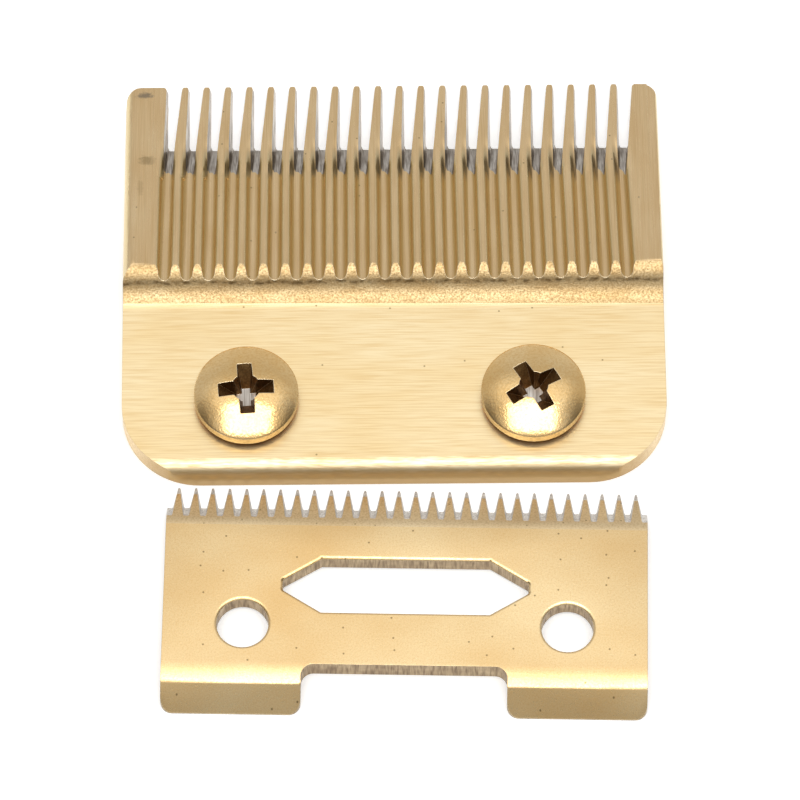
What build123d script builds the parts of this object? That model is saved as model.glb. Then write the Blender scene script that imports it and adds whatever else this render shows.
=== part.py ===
from build123d import *

import os
from math import atan2, cos, degrees, hypot, radians, sin, tan

# Two-hole hair clipper blade set as it lies on a bench: the fixed comb blade on its inner face with its
# two screws standing in their holes, and the loose moving cutter behind it.
# Millimetres, +Z up, X across the blades, +Y towards the comb's teeth, Z = 0 on the bench.

# Fixed blade, plate
blade_width = 46.0
blade_length = 38.2
plate_thickness = 2.2
back_edge_round = 1.5
back_corner_radius = 6.6
front_corner_radius = 1.4

# Fixed blade, step from the plate up to the comb
step_foot = 15.5                 # from the back edge to where the plate starts to rise
step_angle = 45.0                # steepest slope of the step
cove_radius = 3.1
crest_radius = 2.5
crest_tilt = 5.0                 # slope of the crest where the ridges begin
tip_thickness = 0.55

# Fixed blade, flutes between the comb's ridges
flute_pitch = 1.874
flute_depth = 0.85
ridge_radius = 0.42
flute_facets = 10                # ground flats that make up each round flute and ridge
ridge_facets = 6
end_tooth_width = 2.3            # least plain width kept at each end of the comb
comb_offset = 0.09               # the comb sits a little to the right of the plate
left_flank_round = 1.05          # the left flank is polished rounder than the right one
right_flank_round = 0.3

# Fixed blade, ground gaps between the teeth
gap_length = 6.0                 # on the inner face
gap_offset = 0.48                # the gaps sit a little to the right of the flutes
gap_creep = 0.005                # each gap steps this much more than its flute
gap_skew = 2.2                   # the wheel ran in at a slight angle
gap_draft = 3.0                  # slope of each wall from upright
gap_runout = 23.5                # slope of the ground floor
gap_lean_left = 8.0              # the wheel leaned over to the left, most at the left end
gap_lean_right = 5.0
gap_floor_break = 0.14           # worn corners of the wheel
comb_tooth_tip = 0.58            # tooth widths on the inner face
comb_tooth_root = 1.05
comb_tip_break = 0.16            # corners taken off the tooth tips

# Fixed blade, inner face
seat_length = 13.0               # flat seat at the back
land_length = 10.5               # flat land under the teeth
blade_hollow = 0.35

# Screws and their holes
screw_spacing = 24.2
screw_offset = -0.37             # the pair sits a little to the left
screw_from_back = 6.9
screw_hole_diameter = 4.4
shank_diameter = 4.0
shank_chamfer = 0.4
screw_proud = 0.6                # the heads stand this far off the plate
head_diameter = 8.8
head_rim = 0.9
head_rim_bevel = 0.12
head_dome = 1.07
recess_span = 5.2
recess_width = 1.3
recess_depth = 2.0
recess_bottom_span = 2.0
recess_bottom_width = 0.85
recess_flare = 1.25              # radius of the opened-out middle
recess_flare_bottom = 0.6
left_screw_turn = 4.0
right_screw_turn = 30.0

# Cutter, plate
cutter_width = 40.3
cutter_length = 20.7
cutter_thickness = 1.95
front_bevel_length = 4.2
tip_facet_length = 0.75
tip_facet_height = 0.5
tip_edge_height = 0.12
cutter_land = 5.0                # flat land under the teeth
heel_land = 5.2                  # flat land under the feet
cutter_hollow = 0.25
pressed_edge = 0.25              # edge drawn in by the press around the slot and holes

# Cutter, teeth
cutter_pitch = 1.4234
cutter_gap_length = 1.82
cutter_gap_draft = 12.0
cutter_gap_runout = 47.0
cutter_tooth_tip = 0.2
cutter_tooth_root = 0.98
cutter_tip_break = 0.06
cutter_floor_break = 0.06

# Cutter, slot, spring holes and feet
slot_front = 7.2                 # from the tips to the slot
slot_width = 4.9
slot_flat = 14.05                # length of the two parallel sides
slot_length = 20.5
slot_end = 0.9                   # blunt width of each pointed end
slot_corner = 0.35
spring_hole_diameter = 4.35
spring_hole_spacing = 27.0
spring_hole_from_feet = 7.5
notch_width = 17.1
notch_depth = 3.8
notch_fillet = 1.05
foot_corner_radius = 1.0
foot_droop_length = 2.0
foot_droop_angle = 14.0
foot_bevel_angle = 39.0
foot_edge_height = 0.1

# Where the cutter lies
cutter_behind = 0.75             # from its middle tips to the fixed blade's back edge
cutter_shift = 1.05
cutter_turn = -1.5

# Working room for cutting shapes
over = 1.0
under = 0.3
least_wall = 0.1                 # of an edge that a rounding leaves standing

# Worked out from the sizes above
back_round = min(back_edge_round, plate_thickness - least_wall)
cove_top_y = step_foot + cove_radius * sin(radians(step_angle))
cove_top_z = plate_thickness + cove_radius * (1 - cos(radians(step_angle)))
crest_y = cove_top_y + crest_radius * sin(radians(step_angle))
crest_z = cove_top_z + crest_radius * (1 - cos(radians(step_angle)))
ridge_start_y = crest_y - crest_radius * sin(radians(crest_tilt))
ridge_start_z = crest_z - crest_radius * (1 - cos(radians(crest_tilt)))
ramp_drop = (ridge_start_z - tip_thickness) / (blade_length - ridge_start_y)
flute_count = int((blade_width - 2 * end_tooth_width) / flute_pitch)
cutter_tooth_count = int(cutter_width / cutter_pitch)
gap_pitch = flute_pitch + gap_creep


def spaced(count, pitch, middle=0.0):
    return [middle + pitch * (i - (count - 1) / 2) for i in range(count)]


def ridge_height(y):
    return tip_thickness + ramp_drop * (blade_length - y)


# A closed side profile, drawn in (Y, Z) and pulled out across the blades
def across(outline, half_width):
    return extrude(Plane.YZ * make_face(outline), amount=half_width, both=True)


# Hollow grinding on an inner face: one shallow arc from y0 to y1
def hollow_arc(y0, y1, depth):
    return ThreePointArc((y0, 0), ((y0 + y1) / 2, depth), (y1, 0))


# Wedge between two flat walls that open outwards by draft, lean over to the left together and
# widen by taper for each mm of Y
def wedge(start_y, end_y, start_half, taper, draft, lean, height):
    run = (end_y - start_y) * hypot(1, taper)

    # Everything on the inner side of one wall
    def inside_wall(hand):
        slope = tan(radians(draft - hand * lean))
        far = -hand * flute_pitch
        low = hand * (start_half - under * slope)
        high = hand * (start_half + height * slope)
        section = Polygon((far, -under), (low, -under), (high, height), (far, height), align=None)
        return extrude(Plane.XZ.offset(-start_y) * section, amount=run, dir=(hand * taper, 1, 0))

    return inside_wall(1) & inside_wall(-1)


# Ground gap between two teeth, with a sloping floor and a mouth that breaks the corners of the tips
def tooth_gap(tip_y, root_y, tip_half, root_half, draft, lean, runout, height, floor_break, tip_break):
    slope = tan(radians(runout))
    taper = (tip_half - root_half) / (tip_y - root_y)
    front_y = tip_y + tip_break
    back_y = root_y - height / slope
    gap = wedge(back_y, front_y, root_half + taper * (back_y - root_y), taper, draft, lean, height)
    floor_line = [(back_y, height), (root_y + under / slope, -under)]
    side = Polygon(*floor_line, (front_y, -under), (front_y, height), align=None)
    gap &= extrude(Plane.YZ * side, amount=flute_pitch, both=True)
    floor = gap.faces().sort_by(Axis.Y)[0]
    gap = chamfer(floor.edges().filter_by(Axis.X, reverse=True), floor_break)
    break_y = tip_y - tip_break
    return gap + wedge(break_y, front_y, root_half + taper * (break_y - root_y), 1, draft, lean, height)


def fixed_blade_profile():
    wall_top = plate_thickness - back_round
    cove_centre = (step_foot, plate_thickness + cove_radius)
    crest_centre = (crest_y, crest_z - crest_radius)
    hollow_front = blade_length - land_length
    return [
        Line((0, 0), (0, wall_top)),
        CenterArc((back_round, wall_top), back_round, 90, 90),
        Line((back_round, plate_thickness), (step_foot, plate_thickness)),
        CenterArc(cove_centre, cove_radius, 270, step_angle),
        CenterArc(crest_centre, crest_radius, 90, step_angle),
        Line((crest_y, crest_z), (blade_length, crest_z)),
        Line((blade_length, crest_z), (blade_length, 0)),
        Line((blade_length, 0), (hollow_front, 0)),
        hollow_arc(hollow_front, seat_length, blade_hollow),
        Line((seat_length, 0), (0, 0)),
    ]


def fixed_blade_plan():
    plan = Rectangle(blade_width, blade_length, align=(Align.CENTER, Align.MIN))
    plan = fillet(plan.vertices().group_by(Axis.Y)[0], back_corner_radius)
    return fillet(plan.vertices().group_by(Axis.Y)[-1], front_corner_radius)


def arc_points(centre, radius, start, end, steps):
    angles = [radians(start + (end - start) * i / steps) for i in range(steps + 1)]
    return [(centre[0] + radius * cos(angle), centre[1] + radius * sin(angle)) for angle in angles]


# Cross-section of the comb: ridges and flutes on tangent arcs, with the ridge tops at height 0
def comb_section(depth_below):
    half_pitch = flute_pitch / 2
    half_width = blade_width / 2
    wall_angle = degrees(2 * atan2(flute_depth, half_pitch))
    flute_radius = half_pitch / sin(radians(wall_angle)) - ridge_radius
    centres = spaced(flute_count, flute_pitch, comb_offset)

    def ridge(x, start, end, steps):
        return arc_points((x, -ridge_radius), ridge_radius, start, end, steps)

    wave = ridge(centres[0] - half_pitch, 90, 90 - wall_angle, ridge_facets // 2)
    for x in centres:
        flute_centre = (x, flute_radius - flute_depth)
        flute = arc_points(flute_centre, flute_radius, 270 - wall_angle, 270 + wall_angle, flute_facets)
        wave += flute[1:] + ridge(x + half_pitch, 90 + wall_angle, 90 - wall_angle, ridge_facets)[1:]
    wave = wave[: -(ridge_facets // 2)]
    left_turn = left_flank_round - half_width
    right_turn = half_width - right_flank_round
    return make_face([
        CenterArc((left_turn, -left_flank_round), left_flank_round, 90, 90),
        Polyline((left_turn, 0), *wave, (right_turn, 0)),
        CenterArc((right_turn, -right_flank_round), right_flank_round, 0, 90),
        Polyline(
            (half_width, -right_flank_round),
            (half_width, -depth_below),
            (-half_width, -depth_below),
            (-half_width, -left_flank_round),
        ),
    ])


def make_fixed_blade():
    body = across(fixed_blade_profile(), blade_width)
    body &= extrude(fixed_blade_plan(), amount=crest_z + over)
    start_z = ridge_height(-over)
    section = Pos(0, -over, start_z) * (Plane.XZ * comb_section(start_z + over))
    run = (blade_length + 2 * over) * hypot(1, ramp_drop)
    body &= extrude(section, amount=run, dir=(0, 1, -ramp_drop))

    gap_root = blade_length - gap_length
    tip_half = (gap_pitch - comb_tooth_tip) / 2
    root_half = (gap_pitch - comb_tooth_root) / 2
    height = ridge_height(gap_root - gap_length) - flute_depth
    gaps = []
    for i, x in enumerate(spaced(flute_count, gap_pitch, gap_offset)):
        lean = gap_lean_left + (gap_lean_right - gap_lean_left) * i / (flute_count - 1)
        gap = tooth_gap(
            blade_length, gap_root, tip_half, root_half, gap_draft, lean, gap_runout, height,
            gap_floor_break, comb_tip_break,
        )
        gaps.append(Pos(x, gap_root, 0) * Rot(0, 0, -gap_skew) * Pos(0, -gap_root, 0) * gap)
    body -= gaps

    for x in spaced(2, screw_spacing, screw_offset):
        body -= Pos(x, screw_from_back, 0) * Cylinder(screw_hole_diameter / 2, 2 * plate_thickness + over)
    return body


# One arm pair of the cross recess, hanging down from the top of the head
def recess_arm():
    def tapered(plane, bottom, top):
        mouth = top + over * (top - bottom) / recess_depth
        corners = [(-bottom, -recess_depth), (bottom, -recess_depth), (mouth, over), (-mouth, over)]
        side = Polygon(*[(u / 2, z) for u, z in corners], align=None)
        return extrude(plane * side, amount=recess_span, both=True)

    along = tapered(Plane.XZ, recess_bottom_span, recess_span)
    return along & tapered(Plane.YZ, recess_bottom_width, recess_width)


def make_screw():
    shank_length = plate_thickness + screw_proud
    shank_radius = shank_diameter / 2
    head_radius = head_diameter / 2
    dome_radius = head_radius - head_rim_bevel
    rim_top = shank_length + head_rim
    top = rim_top + head_dome
    sphere_radius = (dome_radius**2 + head_dome**2) / (2 * head_dome)
    mid_x = dome_radius / 2
    mid_z = top - sphere_radius + (sphere_radius**2 - mid_x**2) ** 0.5
    outline = [
        Polyline(
            (0, top),
            (0, 0),
            (shank_radius - shank_chamfer, 0),
            (shank_radius, shank_chamfer),
            (shank_radius, shank_length),
            (head_radius, shank_length),
            (head_radius, rim_top - head_rim_bevel),
            (dome_radius, rim_top),
        ),
        ThreePointArc((dome_radius, rim_top), (mid_x, mid_z), (0, top)),
    ]
    screw = revolve(Plane.XZ * make_face(outline), Axis.Z)
    flare = Pos(0, 0, -recess_depth / 2) * Cone(recess_flare_bottom, recess_flare, recess_depth)
    recess = recess_arm() + Rot(0, 0, 90) * recess_arm() + flare
    return screw - Pos(0, 0, top) * recess


def make_screws():
    screw = make_screw()
    left_x, right_x = spaced(2, screw_spacing, screw_offset)
    left = Pos(left_x, screw_from_back, 0) * Rot(0, 0, left_screw_turn) * screw
    right = Pos(right_x, screw_from_back, 0) * Rot(0, 0, right_screw_turn) * screw
    return Compound([left.solid(), right.solid()])


# Side of the cutter, with the tips at Y = 0 and the feet at Y = -cutter_length
def cutter_profile():
    droop_radius = foot_droop_length / sin(radians(foot_droop_angle))
    droop_drop = droop_radius * (1 - cos(radians(foot_droop_angle)))
    bevel_top = cutter_thickness - droop_drop
    bevel_y = (bevel_top - foot_edge_height) / tan(radians(foot_bevel_angle)) - cutter_length
    droop_y = bevel_y + foot_droop_length
    hollow_back = heel_land - cutter_length
    return [
        Polyline(
            (hollow_back, 0),
            (-cutter_length, 0),
            (-cutter_length, foot_edge_height),
            (bevel_y, bevel_top),
        ),
        CenterArc((droop_y, cutter_thickness - droop_radius), droop_radius, 90, foot_droop_angle),
        Polyline(
            (droop_y, cutter_thickness),
            (-front_bevel_length, cutter_thickness),
            (-tip_facet_length, tip_facet_height),
            (0, tip_edge_height),
            (0, 0),
            (-cutter_land, 0),
        ),
        hollow_arc(-cutter_land, hollow_back, cutter_hollow),
    ]


def cutter_plan():
    plan = Rectangle(cutter_width, cutter_length, align=(Align.CENTER, Align.MAX))
    notch = Rectangle(notch_width, notch_depth, align=(Align.CENTER, Align.MIN))
    plan -= Pos(0, -cutter_length) * notch
    rows = plan.vertices().group_by(Axis.Y)
    plan = fillet(rows[1], notch_fillet)
    return fillet(plan.vertices().group_by(Axis.Y)[0], foot_corner_radius)


def cutter_slot():
    half_length, half_flat = slot_length / 2, slot_flat / 2
    half_width, half_end = slot_width / 2, slot_end / 2
    near = [
        (-half_length, -half_end),
        (-half_flat, -half_width),
        (half_flat, -half_width),
        (half_length, -half_end),
    ]
    far = [(x, -y) for x, y in reversed(near)]
    slot = Polygon(*near, *far, align=None)
    slot = fillet(slot.vertices(), slot_corner)
    return Pos(0, -slot_front - slot_width / 2) * slot


def make_cutter():
    body = across(cutter_profile(), cutter_width)
    body &= extrude(cutter_plan(), amount=cutter_thickness + over)
    cut_height = cutter_thickness + over
    openings = cutter_slot()
    hole_y = spring_hole_from_feet - cutter_length
    for x in spaced(2, spring_hole_spacing):
        openings += Pos(x, hole_y) * Circle(spring_hole_diameter / 2)
    body -= extrude(openings, amount=cut_height)
    top = body.faces().filter_by(Plane.XY).sort_by(Axis.Z)[-1]
    rims = [edge for wire in top.inner_wires() for edge in wire.edges()]
    body = chamfer(rims, pressed_edge)

    tip_half = (cutter_pitch - cutter_tooth_tip) / 2
    root_half = (cutter_pitch - cutter_tooth_root) / 2
    gap = tooth_gap(
        0, -cutter_gap_length, tip_half, root_half, cutter_gap_draft, 0, cutter_gap_runout,
        cutter_thickness, cutter_floor_break, cutter_tip_break,
    )
    body -= [Pos(x, 0, 0) * gap for x in spaced(cutter_tooth_count + 1, cutter_pitch)]
    return body


fixed_blade = make_fixed_blade()
blade_screws = make_screws()
cutter_blade = Pos(cutter_shift, -cutter_behind, 0) * Rot(0, 0, cutter_turn) * make_cutter()

# The set's own origin: the middle of its footprint, on the bench
boxes = [piece.bounding_box() for piece in (fixed_blade, blade_screws, cutter_blade)]
middle_x = (min(box.min.X for box in boxes) + max(box.max.X for box in boxes)) / 2
middle_y = (min(box.min.Y for box in boxes) + max(box.max.Y for box in boxes)) / 2
to_origin = Pos(-middle_x, -middle_y, 0)

os.makedirs("parts", exist_ok=True)
export_step(to_origin * fixed_blade, "parts/fixed_blade.step")
export_step(to_origin * blade_screws, "parts/blade_screws.step")
export_step(to_origin * cutter_blade, "parts/cutter_blade.step")
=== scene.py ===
from math import atan2, cos, pi, radians, sin, sqrt, tan

import bmesh
import bpy
from mathutils import Matrix, Vector


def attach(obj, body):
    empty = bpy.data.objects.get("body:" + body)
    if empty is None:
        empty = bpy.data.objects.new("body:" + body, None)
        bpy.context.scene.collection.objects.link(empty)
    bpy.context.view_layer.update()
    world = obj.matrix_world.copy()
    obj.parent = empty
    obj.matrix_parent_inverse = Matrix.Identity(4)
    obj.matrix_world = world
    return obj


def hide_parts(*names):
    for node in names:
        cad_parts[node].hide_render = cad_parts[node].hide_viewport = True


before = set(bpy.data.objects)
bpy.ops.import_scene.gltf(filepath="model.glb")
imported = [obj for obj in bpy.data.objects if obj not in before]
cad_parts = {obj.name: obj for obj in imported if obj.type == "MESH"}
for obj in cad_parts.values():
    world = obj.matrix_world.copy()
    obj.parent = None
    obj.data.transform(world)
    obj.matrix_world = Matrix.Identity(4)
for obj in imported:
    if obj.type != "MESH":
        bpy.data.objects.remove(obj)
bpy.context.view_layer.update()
mm = 0.001
print("frame loaded:", ", ".join(sorted(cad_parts)))


def addNode(tree, kind, inputs=None, **settings):
    node = tree.nodes.new(kind)
    for name, value in settings.items():
        setattr(node, name, value)
    for socket, value in (inputs or {}).items():
        if isinstance(value, bpy.types.NodeSocket):
            tree.links.new(value, node.inputs[socket])
        else:
            node.inputs[socket].default_value = value
    return node


def toLinear(hexColour):
    channels = [int(hexColour[i:i + 2], 16) / 255 for i in (1, 3, 5)]
    linear = [c / 12.92 if c <= 0.04045 else ((c + 0.055) / 1.055) ** 2.4 for c in channels]
    return (*linear, 1.0)


# Noise drawn out to a grain of the given size in mm along X, Y and Z
def grainOf(tree, place, sizes, detail):
    mapped = addNode(tree, "ShaderNodeMapping", {
        "Vector": place, "Scale": [1 / (size * mm) for size in sizes],
    })
    noise = addNode(tree, "ShaderNodeTexNoise", {
        "Vector": mapped.outputs[0], "Scale": 1.0, "Detail": detail,
    })
    return noise.outputs["Fac"]


pitPattern = {"floor": 0.4}   # share of a pit's radius that is wholly dark


# Small dark pits, one in some of the cells of a loose net
def pitsOf(tree, place, pits):
    cells = addNode(tree, "ShaderNodeTexVoronoi", {
        "Vector": place, "Scale": 1 / (pits["spacing"] * mm),
    }, voronoi_dimensions="2D")
    reach = pits["radius"] / pits["spacing"]
    spot = addNode(tree, "ShaderNodeMapRange", {
        "Value": cells.outputs["Distance"], "From Min": pitPattern["floor"] * reach,
        "From Max": reach, "To Min": pits["amount"], "To Max": 0.0,
    })
    lot = addNode(tree, "ShaderNodeSeparateColor", {0: cells.outputs["Color"]})
    drawn = addNode(tree, "ShaderNodeMath", {0: lot.outputs[0], 1: pits["unpitted"]},
                    operation="GREATER_THAN")
    pitted = addNode(tree, "ShaderNodeMath", {0: spot.outputs[0], 1: drawn.outputs[0]},
                     operation="MULTIPLY")
    return pitted.outputs[0]


darkLinePattern = {
    "waves": (1.4, 8.0, 8.0),     # mm, how the line wanders
    "waveDetail": 3.0,
    "waveNoise": (0.25, 0.75),    # the part of the noise that moves it from one side to the other
    "patches": (0.6, 0.4, 0.4),   # mm, how it breaks up
    "patchDetail": 4.0,
    "patchNoise": (0.38, 0.6),
}


# A darker line along X at the given Y, wandering a little and broken into patches
def darkLineOf(tree, place, darkLine):
    p = darkLinePattern
    axes = addNode(tree, "ShaderNodeSeparateXYZ", {0: place})
    middle = addNode(tree, "ShaderNodeMapRange", {
        "Value": grainOf(tree, place, p["waves"], p["waveDetail"]),
        "From Min": p["waveNoise"][0], "From Max": p["waveNoise"][1],
        "To Min": (darkLine["y"] - darkLine["wander"]) * mm, "To Max": (darkLine["y"] + darkLine["wander"]) * mm,
    })
    off = addNode(tree, "ShaderNodeMath", {0: axes.outputs["Y"], 1: middle.outputs[0]},
                  operation="SUBTRACT")
    away = addNode(tree, "ShaderNodeMath", {0: off.outputs[0]}, operation="ABSOLUTE")
    near = addNode(tree, "ShaderNodeMapRange", {
        "Value": away.outputs[0], "From Max": darkLine["half"] * mm,
        "To Min": darkLine["amount"], "To Max": 0.0,
    })
    patches = addNode(tree, "ShaderNodeMapRange", {
        "Value": grainOf(tree, place, p["patches"], p["patchDetail"]),
        "From Min": p["patchNoise"][0], "From Max": p["patchNoise"][1],
    })
    darkened = addNode(tree, "ShaderNodeMath", {0: near.outputs[0], 1: patches.outputs[0]},
                    operation="MULTIPLY")
    return darkened.outputs[0]


spotPattern = {
    "ragged": (0.35, 0.25, 0.3),   # mm, grain of the edge
    "detail": 4.0,
    "tear": 1.6,                   # how far the grain moves the edge, in reaches of the spot
    "core": 0.4,                   # share of the reach that is wholly stained
}


# A rubbed or stained spot at a place in mm, with a ragged edge
def spotOf(tree, place, spot):
    p = spotPattern
    (x, y), (wide, deep) = spot["at"], spot["reach"]
    centred = addNode(tree, "ShaderNodeMapping", {
        "Vector": place, "Location": (-x / wide, -y / deep, 0),
        "Scale": (1 / (wide * mm), 1 / (deep * mm), 0),
    })
    away = addNode(tree, "ShaderNodeVectorMath", {0: centred.outputs[0]}, operation="LENGTH")
    ragged = addNode(tree, "ShaderNodeMath", {
        0: grainOf(tree, place, p["ragged"], p["detail"]), 1: p["tear"], 2: -p["tear"] / 2,
    }, operation="MULTIPLY_ADD")
    edge = addNode(tree, "ShaderNodeMath", {0: away.outputs["Value"], 1: ragged.outputs[0]},
                   operation="ADD")
    stained = addNode(tree, "ShaderNodeMapRange", {
        "Value": edge.outputs[0], "From Min": p["core"], "From Max": 1.0,
        "To Min": spot["amount"], "To Max": 0.0,
    })
    return stained.outputs[0]


finishPattern = {
    "noise": (0.3, 0.7),     # the range that noise fills
    "tinted": (0.4, 0.68),   # from the first grain that takes the tint to what takes all of it
    "worn": (0.88, 0.995),   # cosine of the rounded and the plain normal, from full painted highlight and wear to none
    "grainDetail": 3.0,
    "cloudDetail": 2.0,
    "edgeSamples": 4,
}


# A steel finish: two tones in clouds, a grain that tints, dulls and lifts the surface, pits, darker
# lines, spots, painted shade on steep faces, and paler edges that are partly painted highlight and
# partly wear; all lengths in mm
def steelFinish(name, look):
    p = finishPattern
    material = bpy.data.materials.new(name)
    material.use_nodes = True
    tree = material.node_tree
    tree.nodes.clear()
    place = addNode(tree, "ShaderNodeTexCoord").outputs["Object"]
    grain = grainOf(tree, place, look["grain"], p["grainDetail"])
    clouds = addNode(tree, "ShaderNodeMapRange", {
        "Value": grainOf(tree, place, look["clouds"], p["cloudDetail"]),
        "From Min": p["noise"][0], "From Max": p["noise"][1],
    })
    tint = addNode(tree, "ShaderNodeMapRange", {
        "Value": grain, "From Min": p["tinted"][0], "From Max": p["tinted"][1],
        "To Max": look["grainTint"],
    })
    layers = [(clouds.outputs[0], look["tones"][1]), (tint.outputs[0], look["grainTone"])]
    if "pits" in look:
        layers.append((pitsOf(tree, place, look["pits"]), look["pits"]["tone"]))
    for darkLine in look.get("darkLine", []):
        layers.append((darkLineOf(tree, place, darkLine), darkLine["tone"]))
    for spot in look.get("spots", []):
        layers.append((spotOf(tree, place, spot), spot["tone"]))
    rounded = addNode(tree, "ShaderNodeBevel", {"Radius": look["edge"] * mm},
                      samples=p["edgeSamples"])
    plain = addNode(tree, "ShaderNodeNewGeometry").outputs["Normal"]
    # Faces that turn far enough along the given axis take another tone: painted shade
    if "wall" in look:
        axes = addNode(tree, "ShaderNodeSeparateXYZ", {0: plain})
        aside = addNode(tree, "ShaderNodeMath", {0: axes.outputs[look["wall"]["axis"]]},
                        operation="ABSOLUTE")
        steep = addNode(tree, "ShaderNodeMapRange", {
            "Value": aside.outputs[0],
            "From Min": look["wall"]["from"], "From Max": look["wall"]["to"],
        })
        layers.append((steep.outputs[0], look["wall"]["tone"]))
    # Paler edges where the rounded normal turns away from the plain one: partly painted highlight,
    # partly wear
    bend = addNode(tree, "ShaderNodeVectorMath", {0: rounded.outputs[0], 1: plain},
                   operation="DOT_PRODUCT")
    worn = addNode(tree, "ShaderNodeMapRange", {
        "Value": bend.outputs["Value"], "From Min": p["worn"][0], "From Max": p["worn"][1],
        "To Min": look["edgeHighlightAndWearAmount"], "To Max": 0.0,
    })
    layers.append((worn.outputs[0], look["edgeHighlightAndWearTone"]))
    colour = toLinear(look["tones"][0])
    for share, tone in layers:
        mixed = addNode(tree, "ShaderNodeMix", {0: share, 6: colour, 7: toLinear(tone)},
                        data_type="RGBA")
        colour = mixed.outputs[2]
    rough = addNode(tree, "ShaderNodeMapRange", {
        "Value": grain, "From Min": p["noise"][0], "From Max": p["noise"][1],
        "To Min": look["roughness"][0], "To Max": look["roughness"][1],
    })
    bump = addNode(tree, "ShaderNodeBump", {
        "Distance": look["depth"] * mm, "Height": grain, "Normal": rounded.outputs[0],
    })
    shader = addNode(tree, "ShaderNodeBsdfPrincipled", {
        "Base Color": colour, "Metallic": look.get("metallic", 1.0),
        "Roughness": rough.outputs[0], "Normal": bump.outputs[0],
    })
    addNode(tree, "ShaderNodeOutputMaterial", {"Surface": shader.outputs[0]})
    return material


# In each finish below, the edge tone paints the edges paler: partly painted highlight where they
# catch the light, partly wear
# Titanium nitride coat over a plate brushed from side to side: pale warm gold with thin lines
# along X
brushedCoat = steelFinish("nitrideCoatBrushed", {
    "tones": ("#FADFAA", "#FFEABD"), "clouds": (9.0, 4.0, 4.0),
    "grain": (4.0, 0.13, 0.13),   # brush lines, drawn wider than the real ones so that they show
    "grainTone": "#DDB97C", "grainTint": 0.55, "roughness": (0.28, 0.4), "depth": 0.004,
    "edge": 0.06, "edgeHighlightAndWearTone": "#FFF2D2", "edgeHighlightAndWearAmount": 0.4,
    "pits": {"spacing": 3.0, "radius": 0.11, "unpitted": 0.72, "tone": "#7E643A", "amount": 0.7},
})

# The same coat on the step: left as forged and blasted, so it is rougher and speckled, and it is
# darker in broken lines along its bend and its foot
stepCoat = steelFinish("nitrideCoatForged", {
    "tones": ("#C6A878", "#D6BD90"), "clouds": (3.0, 1.0, 1.0),
    "grain": (0.16, 0.16, 0.16), "grainTone": "#9A7848", "grainTint": 0.6,
    "roughness": (0.4, 0.54), "depth": 0.02,
    "edge": 0.12, "edgeHighlightAndWearTone": "#FFF4DA", "edgeHighlightAndWearAmount": 0.8,
    "darkLine": [
        # in the bend of the step
        {"y": 9.55, "wander": 0.1, "half": 0.2, "tone": "#5A4426", "amount": 0.85},
        # at the foot of the step
        {"y": 7.42, "wander": 0.08, "half": 0.14, "tone": "#6E5632", "amount": 0.6},
    ],
})

# The same coat on the ground comb: fine wheel lines run along the flutes, and their steep sides
# take a duller tone by their steepness, as painted shade
groundCoat = steelFinish("nitrideCoatGround", {
    "tones": ("#EFCD9A", "#F8DAAA"), "clouds": (2.0, 6.0, 2.0),
    "grain": (0.12, 7.0, 4.0), "grainTone": "#C2A06C", "grainTint": 0.45,
    "roughness": (0.24, 0.38), "depth": 0.004,
    "edge": 0.06, "edgeHighlightAndWearTone": "#FFF0CC", "edgeHighlightAndWearAmount": 0.5,
    "wall": {"axis": "X", "from": 0.4, "to": 0.75, "tone": "#DCC99E"},
    "pits": {"spacing": 2.4, "radius": 0.1, "unpitted": 0.7, "tone": "#6E5630", "amount": 0.6},
    "spots": [
        # rubbed through at the tip of the left end tooth, and two stains further down on it
        {"at": (-21.35, 29.2), "reach": (0.85, 0.42), "tone": "#877C6E", "amount": 0.75},
        {"at": (-21.1, 22.1), "reach": (0.75, 0.6), "tone": "#7A6640", "amount": 0.45},
        {"at": (-21.6, 19.2), "reach": (0.3, 1.2), "tone": "#7A6238", "amount": 0.2},
    ],
})

# The coat on the blasted cutter: the same gold with a fine grit, a little deeper and duller
blastedCoat = steelFinish("nitrideCoatBlasted", {
    "tones": ("#EDC98F", "#FAE0AE"), "clouds": (11.0, 8.0, 8.0),
    "grain": (0.14, 0.14, 0.14), "grainTone": "#CFA05C", "grainTint": 0.35,
    "roughness": (0.26, 0.36), "depth": 0.006,
    "edge": 0.1, "edgeHighlightAndWearTone": "#FFF0CC", "edgeHighlightAndWearAmount": 0.7,
    "pits": {"spacing": 2.0, "radius": 0.11, "unpitted": 0.72, "tone": "#6A4E26", "amount": 0.75},
})

# The coat on the cutter's front bevel: ground after blasting, so duller, and painted a little
# darker as painted shade where it tilts away
bevelCoat = steelFinish("nitrideCoatBevelled", {
    "tones": ("#E4C99C", "#F1DCB4"), "clouds": (11.0, 8.0, 8.0),
    "grain": (0.16, 0.16, 0.16), "grainTone": "#BB9C6C", "grainTint": 0.4,
    "roughness": (0.42, 0.54), "depth": 0.008,
    "edge": 0.06, "edgeHighlightAndWearTone": "#F6EAD0", "edgeHighlightAndWearAmount": 0.5,
    "pits": {"spacing": 1.6, "radius": 0.1, "unpitted": 0.7, "tone": "#76592E", "amount": 0.6},
})

# The coat on the rounded back edge: tumbled, so it shines softly; where it turns upright, low down,
# it is painted darker as painted shade
tumbledCoat = steelFinish("nitrideCoatTumbled", {
    "tones": ("#EFD7AA", "#F7E4BE"), "clouds": (4.0, 2.0, 2.0),
    "grain": (1.2, 0.14, 0.14), "grainTone": "#C09A60", "grainTint": 0.5,
    "roughness": (0.4, 0.5), "depth": 0.006,
    "edge": 0.08, "edgeHighlightAndWearTone": "#FFF2D6", "edgeHighlightAndWearAmount": 0.4,
    "wall": {"axis": "Y", "from": 0.55, "to": 0.95, "tone": "#BA9C6C"},
})

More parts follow.
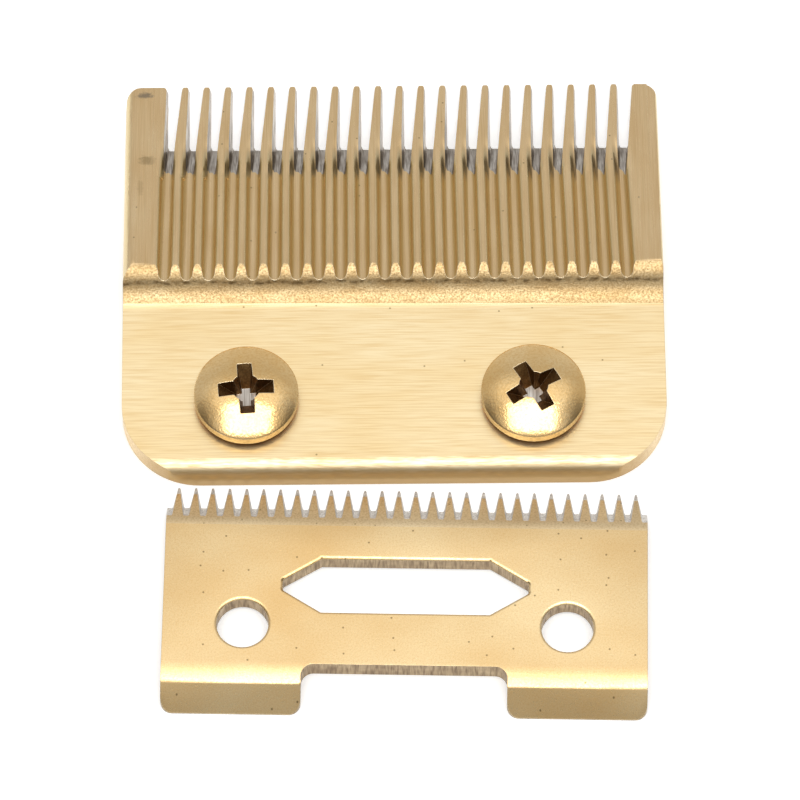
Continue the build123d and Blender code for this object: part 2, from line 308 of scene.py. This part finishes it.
# Bare carbon steel left by the grinding wheel: grey with wheel lines along the teeth
bareSteel = steelFinish("carbonSteelGround", {
    "tones": ("#B9AFA4", "#DDD7CE"), "clouds": (1.0, 2.0, 1.0),
    "grain": (0.11, 3.0, 0.5), "grainTone": "#7A6E62", "grainTint": 0.75,
    "roughness": (0.28, 0.42), "depth": 0.01,
    "edge": 0.04, "edgeHighlightAndWearTone": "#F2EEE8", "edgeHighlightAndWearAmount": 0.7,
})

# Bare steel honed on the cutter's teeth: light grey and dull, because its burr scatters the light
honedSteel = steelFinish("carbonSteelHoned", {
    "tones": ("#DAD6D0", "#F0EEEA"), "clouds": (0.5, 0.8, 0.5), "metallic": 0.5,
    "grain": (0.14, 0.3, 0.14), "grainTone": "#A39A90", "grainTint": 0.7,
    "roughness": (0.5, 0.62), "depth": 0.02,
    "edge": 0.06, "edgeHighlightAndWearTone": "#F6F4F0", "edgeHighlightAndWearAmount": 0.6,
})

# Bare steel lapped flat on the inner faces: even grey with fine lines across the blades
lappedSteel = steelFinish("carbonSteelLapped", {
    "tones": ("#BBB5AC", "#D3CEC6"), "clouds": (8.0, 4.0, 4.0),
    "grain": (9.0, 0.12, 0.12), "grainTone": "#8E877D", "grainTint": 0.5,
    "roughness": (0.22, 0.34), "depth": 0.003,
    "edge": 0.05, "edgeHighlightAndWearTone": "#F2EEE8", "edgeHighlightAndWearAmount": 0.5,
})

# Walls that the press sheared: rough grey-brown steel with upright tears
shearedSteel = steelFinish("carbonSteelSheared", {
    "tones": ("#A48E70", "#BFAA88"), "clouds": (2.0, 2.0, 1.0),
    "grain": (0.16, 0.16, 1.8), "grainTone": "#75604A", "grainTint": 0.8,
    "roughness": (0.35, 0.5), "depth": 0.02,
    "edge": 0.05, "edgeHighlightAndWearTone": "#F4E2BC", "edgeHighlightAndWearAmount": 0.3,
})

# Polished coat on the screws: close to a mirror in gold, broken up by small tumbling dents
polishedCoat = steelFinish("nitrideCoatPolished", {
    "tones": ("#F8CE8A", "#FDDCA2"), "clouds": (3.0, 3.0, 3.0),
    "grain": (0.2, 0.2, 0.2), "grainTone": "#DDA65A", "grainTint": 0.35,
    "roughness": (0.1, 0.18), "depth": 0.014,
    "edge": 0.12, "edgeHighlightAndWearTone": "#FFF4D8", "edgeHighlightAndWearAmount": 0.8,
})

# Rolled rim of the screw heads: the same coat, duller, and painted darker than the dome as painted
# shade, so that the plate below reflects it darker
rimCoat = steelFinish("nitrideCoatRolledShaded", {
    "tones": ("#C6AC7C", "#DBC598"), "clouds": (3.0, 3.0, 1.0),
    "grain": (0.25, 0.25, 0.1), "grainTone": "#947850", "grainTint": 0.5,
    "roughness": (0.3, 0.42), "depth": 0.008,
    "edge": 0.08, "edgeHighlightAndWearTone": "#F6E6C0", "edgeHighlightAndWearAmount": 0.6,
})

# Punched recess of the screws: its walls are painted dark, as painted shade of the recess, with a
# torn grain, and its lip is paler, partly as painted highlight and partly as a burr
punchedCoat = steelFinish("nitrideCoatPunchedShaded", {
    "tones": ("#7A5A34", "#A88252"), "clouds": (0.6, 0.6, 0.6),
    "grain": (0.12, 0.12, 0.7), "grainTone": "#523A1E", "grainTint": 0.6,
    "roughness": (0.35, 0.5), "depth": 0.02,
    "edge": 0.07, "edgeHighlightAndWearTone": "#F6E4BC", "edgeHighlightAndWearAmount": 0.6,
})

finishes = {
    "brushed": brushedCoat,
    "step": stepCoat,
    "ground": groundCoat,
    "blasted": blastedCoat,
    "bevelled": bevelCoat,
    "tumbled": tumbledCoat,
    "honed": honedSteel,
    "bare": bareSteel,
    "lapped": lappedSteel,
    "sheared": shearedSteel,
    "polished": polishedCoat,
    "punched": punchedCoat,
    "rim": rimCoat,
}
print("finishes made:", len(finishes))


shading = {
    "merge": 0.0005,    # mm, corners of a CAD mesh that are closer than this are one
    "flat": 0.99995,    # cosine above which two faces belong to one flat area
}

# Limits for a face's normal that tell which finish the face has
facing = {
    "down": -0.5,       # height below which a face lies on the inner side
    "upright": 0.3,     # height below which it is a wall
    "ground": 0.9,      # height below which a face in a tooth gap was left by the wheel
    "level": 0.999,     # height from which it belongs to a flat top
    "endwards": 0.5,    # sideways part from which it belongs to an end wall
}


# Flat areas of one finish, found face by face, with the size of each one
def flatAreas(shape):
    areaOf, sizes = {}, []
    for start in shape.faces:
        if start in areaOf:
            continue
        areaOf[start] = len(sizes)
        sizes.append(0.0)
        waiting = [start]
        while waiting:
            face = waiting.pop()
            sizes[-1] += face.calc_area()
            for other in [other for edge in face.edges for other in edge.link_faces]:
                level = other.normal.dot(face.normal) > shading["flat"]
                alike = other.material_index == face.material_index
                if level and alike and other not in areaOf:
                    areaOf[other] = areaOf[start]
                    waiting.append(other)
    return areaOf, sizes


# Normals at the corners: across a smooth edge the larger flat area wins, so flats stay flat and
# small roundings take the shading
def cornerNormals(shape):
    areaOf, sizes = flatAreas(shape)
    normals = []
    for face in shape.faces:
        for loop in face.loops:
            fan, waiting = {face}, [face]
            while waiting:
                for edge in waiting.pop().edges:
                    if loop.vert in edge.verts and edge.smooth:
                        fresh = [other for other in edge.link_faces if other not in fan]
                        fan.update(fresh)
                        waiting.extend(fresh)
            byArea = {areaOf[other]: other.normal * sizes[areaOf[other]] for other in fan}
            normals.append(sum(byArea.values(), Vector()).normalized())
    return normals


# Gives a bmesh its finishes, sharp edges and normals, and makes the piece that rides on the frame;
# shading runs on across an edge between the two blended finishes
def makePiece(shape, pieceName, finishNames, smoothAngle, blended=()):
    for edge in shape.edges:
        if len(edge.link_faces) == 2:
            names = {finishNames[face.material_index] for face in edge.link_faces}
            alike = len(names) == 1 or names == set(blended)
            edge.smooth = alike and edge.calc_face_angle(pi) < radians(smoothAngle)
    for face in shape.faces:
        face.smooth = True
    normals = cornerNormals(shape)
    mesh = bpy.data.meshes.new(pieceName)
    for name in finishNames:
        mesh.materials.append(finishes[name])
    shape.to_mesh(mesh)
    shape.free()
    mesh.normals_split_custom_set(normals)
    piece = bpy.data.objects.new(pieceName, mesh)
    bpy.context.scene.collection.objects.link(piece)
    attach(piece, "root")
    return piece


# A merged copy of a CAD node with a finish for each face; reshape then moves its corners
def dressNode(nodeName, pieceName, finishNames, finishOf, smoothAngle,
              reshape=None, blended=()):
    shape = bmesh.new()
    shape.from_mesh(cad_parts[nodeName].data)
    bmesh.ops.remove_doubles(shape, verts=shape.verts, dist=shading["merge"] * mm)
    shape.normal_update()
    for face in shape.faces:
        finish = finishOf(face.calc_center_median() / mm, face.normal)
        face.material_index = finishNames.index(finish)
    for corner in shape.verts if reshape else []:
        corner.co = reshape(corner.co / mm) * mm
    shape.normal_update()
    piece = makePiece(shape, pieceName, finishNames, smoothAngle, blended)
    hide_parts(nodeName)
    return piece


# Fixed blade; lengths in mm, and those along the blade count from its back edge
combSizes = {
    "backY": -8.1277,         # back edge in the frame
    "length": 38.2,
    "halfWidth": 23.0,
    "plateTop": 2.2,
    "tipThickness": 0.55,
    "rampDrop": 0.17305,      # fall of the ridges for each mm towards the tips
    "flutePitch": 1.874,
    "fluteDepth": 0.85,
    "fluteCount": 22,
    "fluteOffset": 0.09,
    "ridgeRadius": 0.42,
    "leftFlankRound": 1.05,
    "rightFlankRound": 0.3,
    "cornersEnd": 7.4,        # end of the rounded back corners
    "stepEnd": 20.0,          # behind the top of the step
    "gapStart": 27.0,         # before the ground gaps
    "onSurface": 0.04,        # how near a face lies to the surface that it belongs to
    "combFrom": 17.0,         # the comb: where it begins, and how far it reaches to each side
    "combHalf": 21.6,
    "fluteFrom": 19.0,        # from here the flutes lie this far to the right of the solid's
    "fluteShift": 0.14,
    "toothFrom": 29.3,        # and from here the teeth, which also have a slightly closer pitch
    "toothShift": 0.1,
    "toothCloseUp": 0.0115,
    "smooth": 46.0,
}


# How far the fluted surface lies under the ridge tops at x
def fluteDrop(x):
    c = combSizes
    halfPitch = c["flutePitch"] / 2
    wallAngle = 2 * atan2(c["fluteDepth"], halfPitch)
    fluteRadius = halfPitch / sin(wallAngle) - c["ridgeRadius"]
    last = c["fluteCount"] - 1
    number = round((x - c["fluteOffset"]) / c["flutePitch"] + last / 2)
    number = min(max(number, 0), last)
    aside = abs(x - c["fluteOffset"] - c["flutePitch"] * (number - last / 2))
    if aside < fluteRadius * sin(wallAngle):
        return c["fluteDepth"] - fluteRadius + sqrt(fluteRadius**2 - aside**2)
    if aside < halfPitch:
        return c["ridgeRadius"] - sqrt(max(c["ridgeRadius"]**2 - (halfPitch - aside)**2, 0))
    flank = c["leftFlankRound"] if x < 0 else c["rightFlankRound"]
    past = max(abs(x) - c["halfWidth"] + flank, 0)
    return flank - sqrt(max(flank**2 - past**2, 0))


def ridgeTop(y):
    return combSizes["tipThickness"] + combSizes["rampDrop"] * (combSizes["length"] - y)


# How far the flutes and the teeth are moved sideways, to where the wheel left them
def combShift(x, y):
    c = combSizes
    if y < c["combFrom"] or abs(x) > c["combHalf"]:
        return 0.0
    run = min(max((y - c["fluteFrom"]) / (c["toothFrom"] - c["fluteFrom"]), 0), 1)
    atTeeth = c["toothShift"] - c["toothCloseUp"] * x
    return c["fluteShift"] + (atTeeth - c["fluteShift"]) * run


def shiftComb(point):
    return point + Vector((combShift(point.x, point.y - combSizes["backY"]), 0, 0))


def fixedFinish(centre, normal):
    c = combSizes
    y = centre.y - c["backY"]
    if normal.z < facing["down"]:
        return "lapped"
    if abs(centre.z - ridgeTop(y) + fluteDrop(centre.x)) < c["onSurface"]:
        return "ground"
    if y > c["gapStart"] and abs(centre.x) < c["halfWidth"] - c["onSurface"]:
        return "bare"
    overPlate = centre.z > c["plateTop"] + c["onSurface"]
    if y < c["stepEnd"] and overPlate and abs(normal.x) < facing["endwards"]:
        return "step"
    if y < c["cornersEnd"] and normal.z < facing["level"]:
        return "tumbled"
    return "brushed"


fixedBlade = dressNode(
    "fixed_blade", "fixedBlade",
    ["brushed", "step", "ground", "bare", "lapped", "tumbled"],
    fixedFinish, combSizes["smooth"], shiftComb,
)
print("fixed blade dressed:", len(fixedBlade.data.polygons), "faces")


# Ground skin of the teeth, on which the flutes run out and each tooth gets a level top and a blunt
# nose; lengths in mm, and those along the blade count from its back edge
toothSizes = {
    "gapPitch": 1.879,
    "gapOffset": 0.48,
    "gapRoot": 32.2,             # root of the gaps on the inner face
    "rootHalf": 0.4145,          # half widths of a gap there, at its root and at the tips
    "tipHalf": 0.6495,
    "draft": 3.0,
    "leans": (8.0, 5.0),         # of the first and the last gap
    "skew": 2.2,
    "proud": 0.012,              # how far the skin stands off the solid
    "sunk": 0.03,                # how far it lies under the ramp where it begins
    "levelFrom": 28.5,           # where the skin begins and the flutes begin to run out
    "levelTo": 32.8,
    "outBy": 29.3,               # where the skin is out of the ramp
    "stations": (
        28.5, 28.9, 29.3, 29.7, 30.2, 30.7, 31.2, 31.7, 32.2, 32.8,
        33.6, 35.0, 36.5, 37.6, 37.85, 38.05, 38.15, 38.19,
    ),
    "across": 6,                 # faces across a tooth's top
    "wallSteps": 4,              # steps that find where a wall meets the top
    "nose": 0.35,                # length of the blunt nose
    "noseLeft": 0.45,            # share of the width left at its end
    "ends": (-20.6, 22.2),       # how far out the skin of the end teeth reaches
    "endShift": (-0.03, 0.05),   # how far their inner walls stand over the cut ones
    "smooth": 40.0,
}


# Wall of gap number i at y and height z; side is 1 for its right wall and -1 for its left one
def gapWall(i, side, y, z):
    t = toothSizes
    last = combSizes["fluteCount"] - 1
    ahead = y - t["gapRoot"]
    toTips = ahead / (combSizes["length"] - t["gapRoot"])
    half = t["rootHalf"] + (t["tipHalf"] - t["rootHalf"]) * toTips
    lean = t["leans"][0] + (t["leans"][1] - t["leans"][0]) * i / last
    slope = tan(radians(t["draft"] - side * lean))
    middle = t["gapOffset"] + t["gapPitch"] * (i - last / 2) + ahead * sin(radians(t["skew"]))
    x = middle + side * (half + z * slope)
    return x + combShift(x, y) - side * t["proud"]


# Height of the skin: it comes up out of the ramp, and its flutes run out into level tops
def toothTop(x, y):
    t = toothSizes
    run = min(max((y - t["levelFrom"]) / (t["levelTo"] - t["levelFrom"]), 0), 1)
    level = run * run * (3 - 2 * run)
    out = min((y - t["levelFrom"]) / (t["outBy"] - t["levelFrom"]), 1)
    surface = ridgeTop(y) - (1 - level) * fluteDrop(x - combShift(x, y))
    return surface + (t["proud"] + t["sunk"]) * out - t["sunk"]


# The two walls of tooth number i at y: where each one meets the top, and where the inner face
def toothWalls(i, y):
    t, lastTooth = toothSizes, combSizes["fluteCount"] - 1
    over = t["endShift"][0] if i < 0 else t["endShift"][1] if i == lastTooth else 0.0
    walls = []
    for gap, side, end in ((i, 1, t["ends"][0]), (i + 1, -1, t["ends"][1])):
        if 0 <= gap <= lastTooth:
            x = gapWall(gap, side, y, toothTop(0, y))
            for _ in range(t["wallSteps"]):
                x = gapWall(gap, side, y, toothTop(x, y))
            walls.append((x + over, gapWall(gap, side, y, t["proud"]) + over))
        else:
            walls.append((end, end))
    (left, leftFoot), (right, rightFoot) = walls
    into = max(0, y - combSizes["length"] + t["nose"]) / t["nose"]
    inset = (1 - t["noseLeft"]) / 2 * (1 - sqrt(1 - into * into)) * (rightFoot - leftFoot)
    leftIn = inset if i >= 0 else 0
    rightIn = inset if i < lastTooth else 0
    return left + leftIn, right - rightIn, leftFoot + leftIn, rightFoot - rightIn


def grindTeeth():
    t = toothSizes
    shape = bmesh.new()
    for i in range(-1, combSizes["fluteCount"]):
        rows = []
        for y in t["stations"]:
            left, right, leftFoot, rightFoot = toothWalls(i, y)
            across = [left + (right - left) * k / t["across"] for k in range(t["across"] + 1)]
            tops = [(x, toothTop(x, y)) for x in across]
            outline = [(leftFoot, t["proud"]), *tops, (rightFoot, t["proud"])]
            points = [Vector((x, y + combSizes["backY"], z)) * mm for x, z in outline]
            rows.append([shape.verts.new(point) for point in points])
        count = len(rows[0])
        for near, far in zip(rows, rows[1:]):
            for k in range(count):
                after = (k + 1) % count
                face = shape.faces.new((near[k], near[after], far[after], far[k]))
                face.material_index = 0 if 0 < k < count - 2 else 1
        shape.faces.new(rows[0]).material_index = 1
        shape.faces.new(reversed(rows[-1])).material_index = 0
    bmesh.ops.recalc_face_normals(shape, faces=shape.faces)
    return makePiece(shape, "combTeeth", ["ground", "bare"], t["smooth"])


combTeeth = grindTeeth()
print("teeth ground:", len(combTeeth.data.polygons), "faces")


# Cutter; lengths in mm, counted back from the tips
cutterSizes = {
    "middle": (1.05, -8.8777),   # middle of the tips in the frame
    "turn": -1.5,
    "tipFacet": 0.75,
    "gapReach": 3.32,
    "bevelReach": 4.2,
    "smooth": 47.0,
}


def cutterFinish(centre, normal):
    c = cutterSizes
    off = Vector((centre.x - c["middle"][0], centre.y - c["middle"][1]))
    back = -(Matrix.Rotation(radians(-c["turn"]), 2) @ off).y
    if normal.z < facing["down"]:
        return "lapped"
    if back < c["tipFacet"] or back < c["gapReach"] and normal.z < facing["ground"]:
        return "honed"
    if abs(normal.z) < facing["upright"]:
        return "sheared"
    return "bevelled" if back < c["bevelReach"] else "blasted"


cutterBlade = dressNode(
    "cutter_blade", "cutterBlade",
    ["blasted", "bevelled", "honed", "sheared", "lapped"],
    cutterFinish, cutterSizes["smooth"], blended=("blasted", "bevelled"),
)
print("cutter dressed:", len(cutterBlade.data.polygons), "faces")


# Screws; lengths in mm, and heights count from the bench
screwSizes = {
    "left": (-12.47, -1.2277),   # the axes in the frame
    "right": (11.73, -1.2277),
    "recessRadius": 2.9,
    "recessFrom": 2.5,           # lowest point of the recess
    "recessFloor": (2.6, 3.4),   # heights between which its floor lies
    "domeTilt": 0.85,            # height of the normal from which a face there belongs to the dome
    "headFrom": 2.8,
    "rimFrom": 4.35,             # radius from which an upright face belongs to the rim
    "shankRadius": 2.0,
    "shankReach": 2.1,           # radius within which a corner under the head is the shank's
    "near": 0.01,
    "threadRoot": 1.62,
    "threadPitch": 0.7,
    "threadCrest": 0.16,         # width of the thread at its crest and at its foot
    "threadFoot": 0.62,
    "threadFrom": 0.45,
    "threadTo": 2.45,
    "threadTurn": 90.0,          # turns the drawn tooth until its crest points outwards
    "threadSteps": 48,           # steps in one turn
    "smooth": 30.0,
}


def screwAxis(x):
    return screwSizes["left"] if x < 0 else screwSizes["right"]


def screwFinish(centre, normal):
    s = screwSizes
    axis = screwAxis(centre.x)
    radius = Vector((centre.x - axis[0], centre.y - axis[1])).length
    inRecess = radius < s["recessRadius"]
    if inRecess and centre.z > s["recessFrom"] and normal.z < s["domeTilt"]:
        return "punched"
    low, high = s["recessFloor"]
    if inRecess and low < centre.z < high and normal.z > facing["ground"]:
        return "bare"
    if radius > s["rimFrom"] and abs(normal.z) < facing["upright"]:
        return "rim"
    return "polished"


# The plain shank is drawn in to the root of the thread
def drawShankIn(point):
    s = screwSizes
    axis = Vector((*screwAxis(point.x), point.z))
    arm = point - axis
    over = point.z - s["headFrom"]
    if over > s["near"] or over > -s["near"] and arm.length > s["shankReach"]:
        return point
    return axis + arm * s["threadRoot"] / s["shankRadius"]


bladeScrews = dressNode(
    "blade_screws", "bladeScrews",
    ["polished", "punched", "bare", "rim"],
    screwFinish, screwSizes["smooth"], drawShankIn,
)
print("screws dressed:", len(bladeScrews.data.polygons), "faces")


# Thread on both shanks: a spiral carries the tooth of the thread, and each shank gets a copy of it
def cutThreads():
    s = screwSizes
    tree = bpy.data.node_groups.new("screwThread", "GeometryNodeTree")
    sizes = {
        "rootRadius": s["threadRoot"] * mm,
        "crestRadius": s["shankRadius"] * mm,
        "crestWidth": s["threadCrest"] * mm,
        "footWidth": s["threadFoot"] * mm,
        "length": (s["threadTo"] - s["threadFrom"]) * mm,
        "turns": (s["threadTo"] - s["threadFrom"]) / s["threadPitch"],
    }
    tree.interface.new_socket("Shanks", in_out="INPUT", socket_type="NodeSocketGeometry")
    for name in sizes:
        tree.interface.new_socket(name, in_out="INPUT", socket_type="NodeSocketFloat")
    tree.interface.new_socket("Threads", in_out="OUTPUT", socket_type="NodeSocketGeometry")
    given = addNode(tree, "NodeGroupInput").outputs
    depth = addNode(tree, "ShaderNodeMath", {0: given["crestRadius"], 1: given["rootRadius"]},
                    operation="SUBTRACT")
    middle = addNode(tree, "ShaderNodeMath", {
        0: depth.outputs[0], 1: 0.5, 2: given["rootRadius"],
    }, operation="MULTIPLY_ADD")
    path = addNode(tree, "GeometryNodeCurveSpiral", {
        "Resolution": s["threadSteps"], "Rotations": given["turns"], "Height": given["length"],
        "Start Radius": middle.outputs[0], "End Radius": middle.outputs[0],
    })
    upright = addNode(tree, "GeometryNodeSetCurveNormal", {"Curve": path.outputs[0]}, mode="Z_UP")
    tooth = addNode(tree, "GeometryNodeCurvePrimitiveQuadrilateral", {
        "Height": depth.outputs[0], "Bottom Width": given["footWidth"],
        "Top Width": given["crestWidth"], "Offset": 0.0,
    }, mode="TRAPEZOID")
    turned = addNode(tree, "GeometryNodeTransform", {
        "Geometry": tooth.outputs[0], "Rotation": (0, 0, radians(s["threadTurn"])),
    })
    thread = addNode(tree, "GeometryNodeCurveToMesh", {
        "Curve": upright.outputs[0], "Profile Curve": turned.outputs[0], "Fill Caps": True,
    })
    copies = addNode(tree, "GeometryNodeInstanceOnPoints", {
        "Points": given["Shanks"], "Instance": thread.outputs[0],
    })
    whole = addNode(tree, "GeometryNodeRealizeInstances", {"Geometry": copies.outputs[0]})
    dressed = addNode(tree, "GeometryNodeSetMaterial", {
        "Geometry": whole.outputs[0], "Material": finishes["polished"],
    })
    addNode(tree, "NodeGroupOutput", {"Threads": dressed.outputs[0]})
    points = bpy.data.meshes.new("shankPoints")
    feet = [(x * mm, y * mm, s["threadFrom"] * mm) for x, y in (s["left"], s["right"])]
    points.from_pydata(feet, [], [])
    maker = bpy.data.objects.new("threadMaker", points)
    bpy.context.scene.collection.objects.link(maker)
    modifier = maker.modifiers.new("thread", "NODES")
    modifier.node_group = tree
    for item in tree.interface.items_tree:
        if item.name in sizes:
            modifier[item.identifier] = sizes[item.name]
    evaluated = maker.evaluated_get(bpy.context.evaluated_depsgraph_get())
    mesh = bpy.data.meshes.new_from_object(evaluated)
    bpy.data.objects.remove(maker)
    mesh.name = "screwThreads"
    shape = bmesh.new()
    shape.from_mesh(mesh)
    bmesh.ops.recalc_face_normals(shape, faces=shape.faces)
    shape.to_mesh(mesh)
    shape.free()
    threads = bpy.data.objects.new("screwThreads", mesh)
    bpy.context.scene.collection.objects.link(threads)
    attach(threads, "root")
    return threads


screwThreads = cutThreads()
print("threads cut:", len(screwThreads.data.polygons), "faces")


floorSizes = {
    "half": 1600.0,            # mm
    "under": 0.02,             # mm, how far the paper lies under the blades
    "white": "#F7F6F4",
    "fibre": 0.6,              # mm
    "fibreDetail": 2.0,
    "roughness": (0.8, 0.95),
    "cameraGlow": 0.3,
}


# White paper floor that stays white to the camera and in the metal, and keeps the shadow
def whitePaper():
    f = floorSizes
    material = bpy.data.materials.new("paperMatt")
    material.use_nodes = True
    tree = material.node_tree
    tree.nodes.clear()
    place = addNode(tree, "ShaderNodeTexCoord").outputs["Object"]
    fibres = addNode(tree, "ShaderNodeMapRange", {
        "Value": grainOf(tree, place, [f["fibre"]] * 3, f["fibreDetail"]),
        "To Min": f["roughness"][0], "To Max": f["roughness"][1],
    })
    paper = addNode(tree, "ShaderNodeBsdfPrincipled", {
        "Base Color": toLinear(f["white"]), "Roughness": fibres.outputs[0],
    })
    path = addNode(tree, "ShaderNodeLightPath").outputs
    seen = path["Is Camera Ray"]
    for ray in ("Is Glossy Ray", "Is Transmission Ray"):
        either = addNode(tree, "ShaderNodeMath", {0: seen, 1: path[ray]}, operation="MAXIMUM")
        seen = either.outputs[0]
    glow = addNode(tree, "ShaderNodeMath", {0: seen, 1: f["cameraGlow"]}, operation="MULTIPLY")
    light = addNode(tree, "ShaderNodeEmission", {"Strength": glow.outputs[0]})
    both = addNode(tree, "ShaderNodeAddShader", {0: paper.outputs[0], 1: light.outputs[0]})
    addNode(tree, "ShaderNodeOutputMaterial", {"Surface": both.outputs[0]})
    return material


def layFloor():
    half, level = floorSizes["half"] * mm, -floorSizes["under"] * mm
    mesh = bpy.data.meshes.new("paperFloor")
    sides = [(-half, -half), (half, -half), (half, half), (-half, half)]
    mesh.from_pydata([(x, y, level) for x, y in sides], [], [(0, 1, 2, 3)])
    mesh.materials.append(whitePaper())
    floor = bpy.data.objects.new("paperFloor", mesh)
    bpy.context.scene.collection.objects.link(floor)


layFloor()


# Softbox: where it hangs, as angles from overhead seen from the blades (plus is towards the camera)
softbox = {
    "from": -6.0,
    "to": 29.0,
    "halfAside": 25.0,
    "away": 0.62,           # m
    "radiance": 2.2,
    "wattsForOne": 4.0,     # watts that give one square metre of an area lamp a radiance of one
}


def hangSoftbox():
    s = softbox
    middle, half = radians((s["from"] + s["to"]) / 2), radians((s["to"] - s["from"]) / 2)
    back = Vector((0, -sin(middle), cos(middle)))
    lamp = bpy.data.lights.new("softbox", "AREA")
    lamp.shape = "RECTANGLE"
    lamp.size = 2 * s["away"] * tan(radians(s["halfAside"]))
    lamp.size_y = 2 * s["away"] * tan(half)
    lamp.energy = s["radiance"] * s["wattsForOne"] * lamp.size * lamp.size_y
    box = bpy.data.objects.new("softbox", lamp)
    box.location = back * s["away"]
    box.rotation_mode = "QUATERNION"
    box.rotation_quaternion = (-back).to_track_quat("-Z", "Y")
    box.visible_camera = False
    bpy.context.scene.collection.objects.link(box)


hangSoftbox()


# White tent round the bench: its light for each angle from overhead (plus is towards the camera),
# along the middle and at the sides
tent = {
    "bands": [
        (-90, 0.7), (-66, 0.62), (-47, 0.54), (-38, 0.72), (-27, 1.0), (-16, 1.1),
        (-6, 0.9), (28, 0.9), (40, 0.6), (54, 0.33), (90, 0.27),
    ],
    "sideBands": [(-90, 0.6), (-34, 0.54), (-14, 0.26), (8, 0.16), (40, 0.16), (90, 0.3)],
    "sideFrom": 24.0,       # degrees aside at which the middle begins to give way to the side
    "sideTo": 52.0,
    "brightest": 1.2,
}


def lightTent():
    world = bpy.data.worlds.new("whiteTent")
    bpy.context.scene.world = world
    world.use_nodes = True
    tree = world.node_tree
    tree.nodes.clear()
    sky = addNode(tree, "ShaderNodeTexCoord").outputs["Generated"]
    axes = addNode(tree, "ShaderNodeSeparateXYZ", {0: sky})
    viewer = addNode(tree, "ShaderNodeMath", {0: axes.outputs["Y"], 1: -1.0}, operation="MULTIPLY")
    angle = addNode(tree, "ShaderNodeMath", {0: viewer.outputs[0], 1: axes.outputs["Z"]},
                    operation="ARCTAN2")
    share = addNode(tree, "ShaderNodeMapRange", {
        "Value": angle.outputs[0], "From Min": -pi / 2, "From Max": pi / 2,
    })
    ramps = []
    for bands in (tent["bands"], tent["sideBands"]):
        ramp = addNode(tree, "ShaderNodeValToRGB", {"Fac": share.outputs[0]})
        stops = ramp.color_ramp.elements
        while len(stops) < len(bands):
            stops.new(1.0)
        for stop, (degrees, light) in zip(stops, bands):
            stop.position = (degrees + 90) / 180
            stop.color = (*[light / tent["brightest"]] * 3, 1.0)
        ramps.append(ramp.outputs[0])
    aside = addNode(tree, "ShaderNodeMath", {0: axes.outputs["X"]}, operation="ABSOLUTE")
    toSide = addNode(tree, "ShaderNodeMapRange", {
        "Value": aside.outputs[0],
        "From Min": sin(radians(tent["sideFrom"])), "From Max": sin(radians(tent["sideTo"])),
    }, interpolation_type="SMOOTHSTEP")
    light = addNode(tree, "ShaderNodeMix", {0: toSide.outputs[0], 6: ramps[0], 7: ramps[1]},
                    data_type="RGBA")
    shade = addNode(tree, "ShaderNodeBackground", {
        "Color": light.outputs[2], "Strength": tent["brightest"],
    })
    addNode(tree, "ShaderNodeOutputWorld", {"Surface": shade.outputs[0]})


lightTent()
print("floor, softbox and tent set")


cameraPlace = {
    "target": (0.4845, -1.3194, 2.2),   # mm, in the middle of the picture
    "azimuth": -0.5363,
    "elevation": 63.2341,
    "distance": 537.98,
    "lens": 286.82,
    "sensor": 36.0,
    "clipStart": 10.0,
}


def setCamera():
    c = cameraPlace
    azimuth, elevation = radians(c["azimuth"]), radians(c["elevation"])
    level = cos(elevation)
    back = Vector((sin(azimuth) * level, -cos(azimuth) * level, sin(elevation)))
    data = bpy.data.cameras.new("camera")
    data.sensor_width = c["sensor"]
    data.lens = c["lens"]
    data.clip_start = c["clipStart"] * mm
    camera = bpy.data.objects.new("camera", data)
    camera.location = (Vector(c["target"]) + back * c["distance"]) * mm
    camera.rotation_mode = "QUATERNION"
    camera.rotation_quaternion = (-back).to_track_quat("-Z", "Y")
    bpy.context.scene.collection.objects.link(camera)
    bpy.context.scene.camera = camera


setCamera()
bpy.context.scene.view_settings.view_transform = "Standard"
